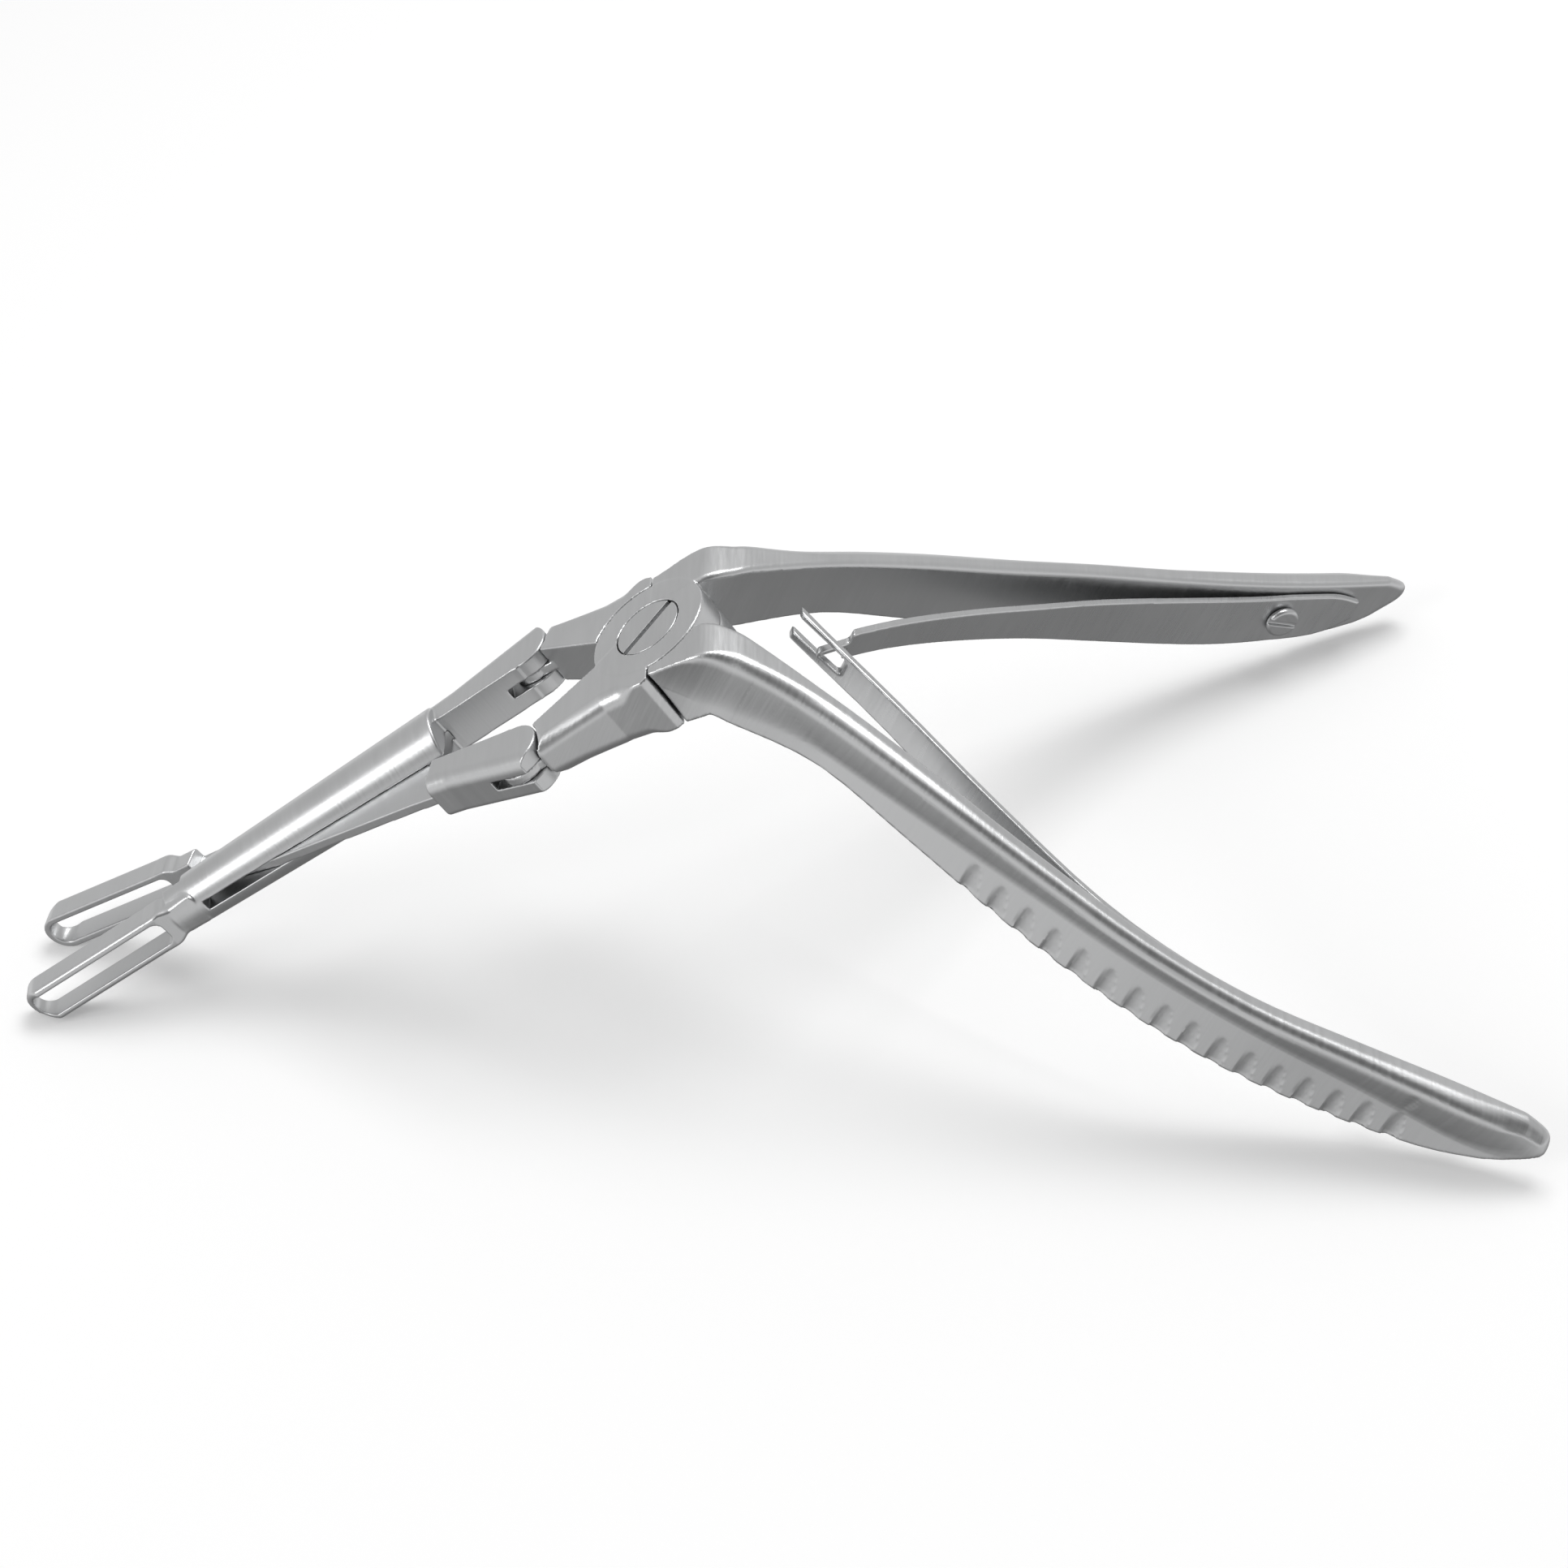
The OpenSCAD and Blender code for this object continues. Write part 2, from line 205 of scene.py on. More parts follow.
def skin(block):
    """Points, normals and quads of the surface of a block's solid."""
    value = block.value
    inside = value < 0
    n = np.array(value.shape) - 1
    corners = [(i, j, k) for i in (0, 1) for j in (0, 1) for k in (0, 1)]
    count = np.zeros(n, np.int8)
    for i, j, k in corners:
        count += inside[i:i + n[0], j:j + n[1], k:k + n[2]]
    active = (count > 0) & (count < 8)
    cell = np.argwhere(active)
    number = np.full(active.shape, -1, np.int32)
    number[active] = np.arange(len(cell))
    c = np.empty((len(cell), 2, 2, 2))
    for i, j, k in corners:
        c[:, i, j, k] = value[cell[:, 0] + i, cell[:, 1] + j, cell[:, 2] + k]
    total = np.zeros((len(cell), 3))
    hits = np.zeros(len(cell))
    for axis in range(3):
        turned = np.moveaxis(c, axis + 1, 1)
        others = [k for k in range(3) if k != axis]
        for p in (0, 1):
            for q in (0, 1):
                low, high = turned[:, 0, p, q], turned[:, 1, p, q]
                crossed = (low < 0) != (high < 0)
                t = np.where(crossed, low / np.where(crossed, low - high, 1), 0)
                total[:, axis] += t
                total[:, others[0]] += p * crossed
                total[:, others[1]] += q * crossed
                hits += crossed
    u = total / hits[:, None]
    h = np.stack([np.diff(a)[cell[:, k]] for k, a in enumerate(block.axes)], 1)
    for _ in range(3):
        gap, slope = trilinear(c, u)
        slope = slope / h
        step = -gap[:, None] * slope / np.maximum((slope ** 2).sum(1), 1e-6)[:, None]
        u = np.clip(u + step / h, 0, 1)
    normal = trilinear(c, u)[1] / h
    points = np.stack([a[cell[:, k]] + u[:, k] * h[:, k] for k, a in enumerate(block.axes)], 1)
    x = points[:, 0].copy()
    tilt = (block.shift(x + 0.01) - block.shift(x - 0.01)) / 0.02
    points[:, 1] += block.shift(x)
    normal[:, 0] -= tilt * normal[:, 1]
    normal /= np.maximum(np.linalg.norm(normal, axis=1), 1e-9)[:, None]
    quads = []
    for axis in range(3):
        p, q = (axis + 1) % 3, (axis + 2) % 3
        low = [slice(1, n[k]) for k in range(3)]
        high = list(low)
        low[axis], high[axis] = slice(0, n[axis]), slice(1, n[axis] + 1)
        start = inside[tuple(low)]
        found = np.argwhere(start != inside[tuple(high)])
        outward = start[tuple(found.T)]
        at = found + 1
        at[:, axis] -= 1
        ring = []
        for dp, dq in ((-1, -1), (0, -1), (0, 0), (-1, 0)):
            near = at.copy()
            near[:, p] += dp
            near[:, q] += dq
            ring.append(number[tuple(near.T)])
        ring = np.stack(ring, 1)
        ring[~outward] = ring[~outward][:, ::-1]
        quads.append(ring)
    return points, normal, np.concatenate(quads)


def make_piece(name, block, place, nodes, body, finish):
    """The block's solid as a mesh object at place, standing for its CAD nodes on their body."""
    points, normals, quads = skin(block)
    matrix = np.array(place)
    points = (points @ matrix[:3, :3].T + matrix[:3, 3]) * MM
    normals = normals @ matrix[:3, :3].T
    if np.linalg.det(matrix[:3, :3]) < 0:
        quads = quads[:, ::-1]
    mesh = bpy.data.meshes.new(name)
    mesh.vertices.add(len(points))
    mesh.vertices.foreach_set("co", points.astype(np.float32).ravel())
    mesh.loops.add(quads.size)
    mesh.loops.foreach_set("vertex_index", np.ascontiguousarray(quads).astype(np.int32).ravel())
    mesh.polygons.add(len(quads))
    mesh.polygons.foreach_set("loop_start", np.arange(0, quads.size, 4, dtype=np.int32))
    mesh.update(calc_edges=True)
    mesh.shade_smooth()
    mesh.normals_split_custom_set_from_vertices([Vector(normal) for normal in normals])
    mesh.materials.append(finish)
    piece = bpy.data.objects.new(name, mesh)
    bpy.context.scene.collection.objects.link(piece)
    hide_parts(*nodes)
    if body:
        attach(piece, body)
    return piece


# ---- finishes -------------------------------------------------------------------------------

def steel(name, settings, grain, along=0, tone=1.0, rough=0.0):
    """Ground stainless steel with fine scratches; grain is the frame whose axis along they cross."""
    material = bpy.data.materials.new(name)
    material.use_nodes = True
    nodes, links = material.node_tree.nodes, material.node_tree.links
    shader = nodes["Principled BSDF"]
    shader.inputs["Metallic"].default_value = 1.0
    shader.inputs["Anisotropic"].default_value = 0.0
    place = nodes.new("ShaderNodeTexCoord")
    turn = nodes.new("ShaderNodeMapping")
    turn.vector_type = "TEXTURE"
    turn.inputs["Rotation"].default_value = grain.to_3x3().to_euler()
    links.new(place.outputs["Object"], turn.inputs["Vector"])

    def noise(scale, detail, stretch=(1, 1, 1)):
        squeeze = nodes.new("ShaderNodeMapping")
        squeeze.inputs["Scale"].default_value = stretch
        links.new(turn.outputs["Vector"], squeeze.inputs["Vector"])
        texture = nodes.new("ShaderNodeTexNoise")
        texture.inputs["Scale"].default_value = scale
        texture.inputs["Detail"].default_value = detail
        links.new(squeeze.outputs["Vector"], texture.inputs["Vector"])
        return texture.outputs["Fac"]

    def band(source, low, high):
        remap = nodes.new("ShaderNodeMapRange")
        remap.inputs["From Min"].default_value = 0.3
        remap.inputs["From Max"].default_value = 0.7
        remap.inputs["To Min"].default_value = low
        remap.inputs["To Max"].default_value = high
        links.new(source, remap.inputs["Value"])
        return remap.outputs["Result"]

    stretch = [settings.grain_stretch] * 3
    stretch[along] = 1.0
    scratches = noise(settings.grain_scale, 4, stretch)
    clouds = noise(90, 3)
    shade = nodes.new("ShaderNodeMix")
    shade.data_type = "RGBA"
    colour = [channel * tone for channel in settings.steel_colour]
    shade.inputs["A"].default_value = (*[0.93 * channel for channel in colour], 1)
    shade.inputs["B"].default_value = (*colour, 1)
    both_tones = nodes.new("ShaderNodeMath")
    both_tones.operation = "MULTIPLY_ADD"
    both_tones.inputs[1].default_value = 0.5
    links.new(band(scratches, 0, 1), both_tones.inputs[0])
    links.new(band(clouds, 0, 0.5), both_tones.inputs[2])
    links.new(both_tones.outputs[0], shade.inputs["Factor"])
    links.new(shade.outputs["Result"], shader.inputs["Base Color"])
    dull = nodes.new("ShaderNodeMath")
    base = settings.roughness + rough
    links.new(band(scratches, base, base + 0.09), dull.inputs[0])
    links.new(band(clouds, 0, 0.05), dull.inputs[1])
    links.new(dull.outputs[0], shader.inputs["Roughness"])
    bump = nodes.new("ShaderNodeBump")
    bump.inputs["Strength"].default_value = settings.grain_depth
    bump.inputs["Distance"].default_value = 0.00005
    links.new(scratches, bump.inputs["Height"])
    links.new(bump.outputs["Normal"], shader.inputs["Normal"])
    return material


# ---- handles --------------------------------------------------------------------------------

# Stations down the handle: distance, lower edge, upper edge, offset from the middle plane
STATIONS = [
    (12, -1.6, 8.6, 10.0), (24, -0.2, 8.6, 16.9), (36, -1.8, 7.8, 23.6), (50, -3.9, 6.5, 31.2),
    (64, -4.8, 5.6, 38.6), (78, -5.0, 5.6, 44.3), (92, -3.9, 7.0, 48.6), (103, -1.6, 8.5, 52.2),
]
TIP = [(111.6, 2.9), (113.6, 4.9), (115.0, 7.0), (114.6, 8.9), (111.5, 9.7)]
TIP_OFFSET = (116, 57.1)
ROOT_TOP = [(3.7, 5.29), (4.9, 6.6), (6.4, 7.5), (8.4, 8.1)]
ROOT_HIGH = (0.23, 0.33)
ROOT_LOW = (7.44, -4.72)
DISC_R = 8.4
HALF_GAP = 0.03
SHOULDER_R = 8.55
INNER = -2.1
FIRST_SCALLOP = 44.2
LAST_SCALLOP = 99.3
SCALLOP_R = 1.5
FLANK = math.radians(34)
LINK_PIN_R = 1.15
EAR_R = 3.8
TONGUE = (-LEVER_T / 2 - 0.70, -LEVER_T / 2 + 0.70)


def offset_line(x):
    line = spline([(s[0], s[3]) for s in STATIONS] + [TIP_OFFSET], 24)
    return np.interp(x, line[:, 0], line[:, 1])


def inner_line(x):
    """Where the handle's inner face lies, from the root to the tip."""
    root = [(-3, 4.2), (4, 4.3), (8, 5.4), (12, 7.7), (16, 10.1), (20, 12.5)]
    rest = [(at, offset_line(at) + INNER) for at in np.arange(24, 117, 4)]
    line = spline(root + rest, 16)
    return np.interp(x, line[:, 0], line[:, 1])


def side_outline():
    lower = spline([(s[0], s[1]) for s in STATIONS] + [(109.6, 1.4)], 4)
    upper = spline(ROOT_TOP + [(s[0], s[2]) for s in STATIONS], 5)[::-1]
    start = [(10.6, -1.7), (9.6, -1.9), (8.9, -2.9), ROOT_LOW, ROOT_HIGH][::-1]
    loop = start[1:] + [tuple(p) for p in lower] + [tuple(p) for p in spline(TIP, 4)]
    return [start[0]] + loop + [tuple(p) for p in upper]


def bar_field(x, y, z, sizes):
    """The handle's bar: a flat inner face, a thin strip below and a rounded rib above it."""
    reach = inner_line(x)
    lean = 1 / np.hypot(1, (inner_line(x + 0.5) - inner_line(x - 0.5)))
    height = (y - reach) * lean
    root = 1 - ease((x - 4) / 20)
    swell = spline([(-3, 8.1), (4, 8.1), (8, 7.1), (12, 5.9), (16, 5.0), (21, 4.5), (27, 4.4),
                    (34, 4.4)], 12)
    crest = (np.interp(x, swell[:, 0], swell[:, 1]) - 1.7 * ease((x - 103) / 12)) * lean
    strip = (sizes.strip_thickness / MM + root * 3.2) * lean
    crease = sizes.rib_edge / MM + root * 1.2
    side = (height - strip) * math.cos(FLANK) - (z - crease) * math.sin(FLANK)
    rib = both(height - crest, side, 2.6)
    outer = either(height - strip, rib, 0.25 + 2.4 * root)
    outer = np.where(z < crease - 4, height - strip, outer)
    plan = outline(side_outline(), x, z)
    roll = 0.35 + 2.05 * ease((z - crease - 4 * ease((x - 103) / 8)) / 2.5) * ease((x - 1) / 8)
    solid = both(outer, plan, roll)
    return both(solid, -height, 0.3 + 0.55 * ease((z - crease) / 3))


def scallop_field(x, y, z, sizes):
    """Grip scallops along the strip, deepest at its lower edge."""
    count = sizes.scallops
    pitch = (LAST_SCALLOP - FIRST_SCALLOP) / (count - 1)
    index = np.clip(np.round((x - FIRST_SCALLOP) / pitch), 0, count - 1)
    middle = FIRST_SCALLOP + index * pitch
    surface = inner_line(middle) + sizes.strip_thickness / MM
    low = spline([(s[0], s[1]) for s in STATIONS], 8)
    rise = z - np.interp(middle, low[:, 0], low[:, 1])
    lean = inner_line(middle + 0.5) - inner_line(middle - 0.5)
    along = x - middle + 0.10 * (rise - 2)
    height = (y - surface - lean * (x - middle)) / np.hypot(1, lean)
    deep = 0.50 - 0.115 * np.maximum(rise - 0.6, 0) - 0.03 * np.maximum(rise - 3, 0) ** 2
    cutter = np.hypot(along, height - SCALLOP_R + deep) - SCALLOP_R
    return both(cutter, -(along + 0.95), 0.12)


def arm_plan(a, y):
    points = [(0.2, -7), (0.2, -10.6), (-0.7, -11.1), (-3, -11.0), (-7, -10.8), (-13, -11.9),
              (-17, -12.7), (-19, -12.5), (-19, -8.3), (-18, -7.9), (-7, -1.9), (-2, 2)]
    return outline(points, a, y)


def arm_depth(a, n):
    points = [(10, 0), (10, -JOINT_T), (0.2, -JOINT_T), (-3, -JOINT_T + 0.1), (-8, -8.0),
              (-13, -6.9), (-17, -LEVER_T), (-30, -LEVER_T), (-30, 0)]
    return outline(points, a, n)


def handle_blocks(sizes):
    """The far and near handle as solids, both drawn for the far side."""
    fine = sizes.fine_step / MM
    coarse = sizes.coarse_step / MM
    x = np.concatenate([np.arange(-15.2, 15.6, fine), np.arange(15.8, 117, coarse)])
    y = np.arange(-17.6, 20, fine)
    z = np.arange(-26, 13.2, fine)
    start = 10.0

    def shift(at):
        return (offset_line(np.maximum(at, start)) - offset_line(start)) * ease((at - start) / 6)

    shared = Block(x, y, z, shift)
    cuts, *at = shared.window(x=(15.7, 117.5), y=(6.6, 17.4), z=(-6.4, 13.2))
    bar = bar_field(*at, sizes)
    shared.value[cuts] = without(bar, scallop_field(*at, sizes), 0.06)

    root_cuts, x, y, z = shared.window(x=(-15.2, 15.7))
    a = x * math.cos(BEND) + z * math.sin(BEND)
    n = z * math.cos(BEND) - x * math.sin(BEND)
    grip = np.full(np.broadcast_shapes(x.shape, y.shape, z.shape), FAR, np.float32)
    cuts, *at = shared.window(x=(-2, 15.7), y=(2, 16), z=(-8, 13.2))
    grip[cuts] = bar_field(*at, sizes)
    arm = np.full_like(grip, FAR)
    tongue = np.full_like(grip, FAR)
    cuts, ax, ay, az = shared.window(x=(-15.2, 9), y=(-17.6, 4), z=(-26, 8))
    sa = ax * math.cos(BEND) + az * math.sin(BEND)
    sn = az * math.cos(BEND) - ax * math.sin(BEND)
    outside = ease((-ay - 4.6 + 0.30 * sa) / 3)
    ear = np.hypot(sa - LINK.x, ay + LINK.y)
    plan = without(arm_plan(sa, ay), ear - EAR_R - 0.2, 0.25)
    arm[cuts] = both(plan, arm_depth(sa, sn), 0.25 + 1.75 * outside * ease((-sa - 1.5) / 3))
    flat = [(LINK.x - 1.5, -LINK.y + 2.8), (LINK.x - 1.5, -LINK.y - 2.8), (-15, -12.1), (-15, -7.2)]
    plate = np.minimum(ear - EAR_R + 0.5, outline(flat, sa, ay))
    tongue[cuts] = both(plate, slab(sn, *TONGUE), 0.12)
    radius = np.hypot(a, y)
    link_hole = np.hypot(a - LINK.x, y + LINK.y) - LINK_PIN_R

    blocks = []
    for top in (True, False):
        own = slab(n, MID + HALF_GAP, 0) if top else slab(n, -JOINT_T, MID - HALF_GAP)
        other = n - MID - HALF_GAP if top else MID - HALF_GAP - n
        disc = both(radius - DISC_R, own, 0.22)
        pocket = np.maximum(radius - SHOULDER_R, other)
        body = either(grip, arm, 1.2)
        body = without(body, pocket, 0.15)
        body = either(body, disc, 0.15)
        body = np.minimum(body, tongue)
        if top:
            screw = np.minimum(radius - 2.65, np.maximum(radius - 4.73, MID + 2.2 - n))
        else:
            screw = np.maximum(radius - 2.62, -7.6 - n)
        body = without(body, screw, 0.1)
        body = without(body, link_hole, 0.1)
        block = Block(*shared.axes, shift)
        block.value[:] = shared.value
        block.value[root_cuts] = body
        blocks.append(block)
    return blocks


# ---- jaw levers, drawn closed with the box pin at the origin ----------------------------------

BOX_BACK = 28
BOX_FRONT = 15
JAW_REACH = 43.7
JAW_D = 3.9
JAW_H = 5.9
BITE = 0.02
SKIN = 0.6
DOME_Z = -3.3


def jaw_loop(x, z, grow):
    """The rounded outline of a jaw from the side, drawn in by grow."""
    r = JAW_H / 2 - grow
    back = -18.5 - grow * 1.4
    tip = -JAW_REACH + JAW_H / 2
    ends = np.minimum(np.hypot(x - tip, z) - r, both(slab(x, tip, back), slab(z, -r, r), 1.2))
    return np.where(x < tip + 1, np.minimum(ends, np.maximum(slab(z, -r, r), tip - x)), ends)


def front_jaw(x, y, z, wall):
    middle = z + LEVER_T / 2
    neck = outline([(-21, -2.2), (-21, 2.2), (-10, 2.9), (0, 3.2), (0, -2.9), (-10, -2.9)], x, middle)
    side = either(jaw_loop(x, middle, 0), neck, 1.0)
    plan = outline([(-BOX_FRONT, -BITE), (-JAW_REACH, -BITE), (-JAW_REACH, -JAW_D + 2),
                    (-JAW_REACH + 3, -JAW_D), (-20, -JAW_D), (-17.5, -3.3), (-BOX_FRONT + 1, -3.3)], x, y)
    solid = both(side, plan, np.where(y < -2, 0.6, 0.12))
    return without(solid, jaw_loop(x, middle, wall), 0.18)


def rear_bar(x, y, z):
    """The rear half of a lever, from the box to its link ear, its outer edges well rounded."""
    px, py = LEVER_PIN
    plan = outline([(px - 1, py + EAR_R), (44.8, py + EAR_R), (31, 5.4), (26, 4.9), (22, 4.4), (22, -2),
                    (27.2, 0.2), (px - 1, py - EAR_R)], x, y)
    ear = np.hypot(x - px, y - py) - EAR_R
    plan = either(plan, ear, 0.5)
    edge = y - np.interp(x, (22, 26, 31, 44.8, 50), (4.4, 4.9, 5.4, py + EAR_R, py + EAR_R + 1.3))
    solid = np.maximum(both(plan, z, 0.2), both(edge, z, 1.9))
    solid = np.maximum(solid, both(edge, -LEVER_T - z, 0.9))
    return both(solid, -LEVER_T - z, 0.22)


def link_slot(x, y, z):
    px, py = LEVER_PIN
    turn = -(math.atan2(py, px) - math.radians(3))
    u = (x - px) * math.cos(turn) - (y - py) * math.sin(turn)
    v = (x - px) * math.sin(turn) + (y - py) * math.cos(turn)
    flat = np.minimum(np.hypot(u, v) - EAR_R + 0.2, both(slab(u, -4.2, 12), slab(v, -8, 8), 0.3))
    return np.maximum(flat, slab(z, -LEVER_T / 2 - 0.75, -LEVER_T / 2 + 0.75))


def lever_blocks(sizes):
    step = sizes.lever_step / MM
    axes = (np.arange(-44.2, 47, step), np.arange(-5.6, 9.4, step), np.arange(-7.2, 2.4, step))
    top, bottom = Block(*axes), Block(*axes)
    _, x, y, z = top.window()
    radius = np.hypot(x, y)
    rear = rear_bar(x, y, z)
    jaw = front_jaw(x, y, z, sizes.jaw_wall / MM)
    slot = link_slot(x, y, z)
    link_pin = np.maximum(np.hypot(x - LEVER_PIN.x, y - LEVER_PIN.y) - 1.12, z + SKIN)
    bite = np.maximum(0.01 - y, x + BOX_FRONT + 1.2 - 0.2 * (y - 0.01))
    tongue_z = slab(z, -LEVER_T / 2 - 0.75, -LEVER_T / 2 + 0.75)

    dome = np.hypot(y, z - DOME_Z) - (3.6 + (x + 18) * 1.3 / 48)
    dome = both(dome, -LEVER_T - z, 0.3)
    reach = np.minimum(radius - BOX_FRONT + 0.05, slab(x, 0, 60))
    reach = np.minimum(reach, np.maximum(slab(x, -18, 2), y))
    dome = both(both(dome, reach, 0.15), radius - BOX_BACK, 0.35)
    solid = either(without(rear, radius - BOX_BACK + 4, 0.2), dome, 0.3)
    solid = either(solid, jaw, 0.4)
    way = np.maximum(radius - BOX_BACK - 0.3, -BOX_FRONT - x)
    way = without(way, np.maximum(slab(x, -16, -13), y + 0.8), 0.02)
    solid = without(solid, np.maximum(way, tongue_z), 0.1)
    solid = without(without(solid, slot, 0.1), link_pin, 0.05)
    solid = without(solid, np.maximum(radius - 1.52, z + SKIN), 0.05)
    top.value[:] = np.maximum(solid, -bite)

    plate = outline([(31, 5.0), (24, 4.5), (0, 3.9), (-12.5, 2.2), (-12.5, 0.6), (-14.7, 0.6),
                     (-14.7, -0.1), (-BOX_FRONT - 1.5, -0.1), (-BOX_FRONT - 1.5, -3.2), (0, -3.9),
                     (24, -4.2), (28, 0.4), (31, 1.5)], x, y)
    plate = both(plate, slab(z, *TONGUE), 0.08)
    solid = np.minimum(without(rear, radius - BOX_BACK - 0.3, 0.3), plate)
    solid = np.minimum(solid, without(jaw, radius - BOX_FRONT - 0.05, 0.2))
    solid = without(without(solid, slot, 0.1), link_pin, 0.05)
    solid = without(solid, radius - 1.55, 0.05)
    bottom.value[:] = np.maximum(solid, -bite)
    return top, bottom


# ---- leaf springs and screws ------------------------------------------------------------------

SPRING_END = 108
CROSSING = 22.5
FREE_FROM = 76
TIP_W = 5.1
LIFT = 0.065
FORK_TIP = 18.4
TONGUE_TIP = 21.2
SLOT_TURN = math.radians(43)


def spring_line(x):
    """The spring's centre line: beside the handle's inner face, then sweeping to the middle."""
    def beside(at):
        gap = SPRING_SCREW.y - inner_line(SPRING_SCREW.x)
        return inner_line(at) + gap - LIFT * np.maximum(SPRING_SCREW.x - at, 0)
    sweep = beside(CROSSING) / (FREE_FROM - CROSSING) ** 2
    return beside(x) - sweep * np.maximum(FREE_FROM - x, 0) ** 2


def handle_slope():
    line = offset_line(np.array([SPRING_SCREW.x - 3, SPRING_SCREW.x + 3]))
    return float(line[1] - line[0]) / 6


def spring_block(sizes, forked):
    slope = handle_slope()
    tip = FORK_TIP if forked else TONGUE_TIP
    step = sizes.spring_step / MM
    block = Block(np.arange(tip - 1.2, SPRING_END + 1.5, 1.5 * step), np.arange(-1.08, 1.09, 0.12),
                  np.arange(-5, 9.8, step), spring_line)
    _, x, y, z = block.window()
    steep = spring_line(x + 0.5) - spring_line(x - 0.5)
    height = (y - spring_line(x)) / np.hypot(1, steep)
    low = spline([(tip, 2.7), (32, 2.2), (50, -1.0), (66, -4.1), (80, -4.7), (92, -3.3), (103, -0.4),
                  (108, 3.4)], 4)
    high = spline([(107.5, 6.4), (104, 7.0), (100, 6.6), (90, 4.9), (76, 3.3), (60, 3.2), (45, 4.9),
                   (32, 6.5), (tip, 7.2)], 4)
    plan = outline([tuple(p) for p in low] + [tuple(p) for p in high], x, z)
    if forked:
        gap = both(slab(z, TIP_W - 1.15, TIP_W + 1.15), x - 24.8, 0.5)
        plan = without(plan, gap, 0.3)
    else:
        keep = either(25.6 - x, slab(z, TIP_W - 0.45, TIP_W + 0.45), 0.4)
        plan = both(plan, keep, 0.2)
    thick = sizes.spring_thickness / MM
    solid = both(np.abs(height) - thick / 2, plan, 0.28)
    lean = math.atan(slope)
    along = (x - SPRING_SCREW.x) * math.cos(lean) + (y - SPRING_SCREW.y) * math.sin(lean)
    block.value[:] = without(solid, np.hypot(along, z - SPRING_SCREW.z) - 1.6, 0.1)
    return block


def pivot_screw_block(sizes):
    step = sizes.screw_step / MM
    span = np.arange(-5, 5.01, step)
    block = Block(span, span, np.arange(-8.2, 0.6, step))
    _, x, y, z = block.window()
    radius = np.hypot(x, y)
    head = both(radius - 4.6, slab(z, MID + 2.25, -0.05), 0.12)
    shank = both(radius - 2.6, slab(z, -7.5, MID + 2.6), 0.3)
    across = -x * math.sin(SLOT_TURN) + y * math.cos(SLOT_TURN)
    slot = np.maximum(np.abs(across) - sizes.slot_width / MM / 2, -0.95 - z)
    block.value[:] = without(np.minimum(head, shank), slot, 0.06)
    return block


def spring_screw_block(sizes):
    """A round-headed screw with its head towards minus z and the spring's middle at the origin."""
    step = sizes.screw_step / MM
    span = np.arange(-2.9, 2.91, step)
    block = Block(span, span, np.arange(-2.4, 3.2, step))
    _, x, y, z = block.window()
    radius = np.hypot(x, y)
    under = -sizes.spring_thickness / MM / 2
    head = both(radius - 2.5, slab(z, under - 1.35, under - 0.2), 0.55)
    shank = both(radius - 0.98, slab(z, under - 0.5, 2.5), 0.2)
    slot = np.maximum(np.abs(y) - 0.38, z - under + 0.8)
    block.value[:] = without(np.minimum(head, shank), slot, 0.08)
    return block


# ---- settings ---------------------------------------------------------------------------------

def length(name, note, default):
    return bpy.props.FloatProperty(name=name, description=note, default=default, min=0.00001,
                                   unit="LENGTH", precision=5)


class ForcepsSizes(bpy.types.PropertyGroup):
    """Sizes of the visible pieces"""
    strip_thickness: length("Strip thickness", "Thickness of the notched strip below the rib", 0.0026)
    rib_edge: length("Rib edge", "Place of the crease between strip and rib across the handle", 0.002)
    scallops: bpy.props.IntProperty(name="Scallops", description="Grip scallops on each handle", default=16,
                                    min=2, max=18)
    jaw_wall: length("Jaw wall", "Wall of the jaw loops", 0.001)
    spring_thickness: length("Spring thickness", "Thickness of the leaf springs", 0.0011)
    slot_width: length("Slot width", "Width of the pivot screw's slot", 0.0009)
    fine_step: length("Fine step", "Mesh spacing round the joint", 0.00026)
    coarse_step: length("Coarse step", "Mesh spacing along the handles", 0.00036)
    spring_step: length("Spring step", "Mesh spacing on the springs", 0.00017)
    lever_step: length("Lever step", "Mesh spacing on the jaw levers", 0.0002)
    screw_step: length("Screw step", "Mesh spacing on the screws", 0.00014)


class ForcepsFinish(bpy.types.PropertyGroup):
    """Finish of the ground steel"""
    steel_colour: bpy.props.FloatVectorProperty(name="Steel colour", description="Colour of the bare steel",
                                                subtype="COLOR", default=(0.66, 0.665, 0.67), min=0, max=1)
    roughness: bpy.props.FloatProperty(name="Roughness", description="Roughness of the ground faces",
                                       default=0.27, min=0, max=1, subtype="FACTOR")
    grain_scale: bpy.props.FloatProperty(name="Grain scale", description="Scratches per metre",
                                         default=2600, min=10)
    grain_stretch: bpy.props.FloatProperty(name="Grain stretch", description="Squeeze along a scratch",
                                           default=0.06, min=0.001, max=1)
    grain_depth: bpy.props.FloatProperty(name="Grain depth", description="Strength of the scratches",
                                         default=0.35, min=0, max=1, subtype="FACTOR")


# ---- operators --------------------------------------------------------------------------------

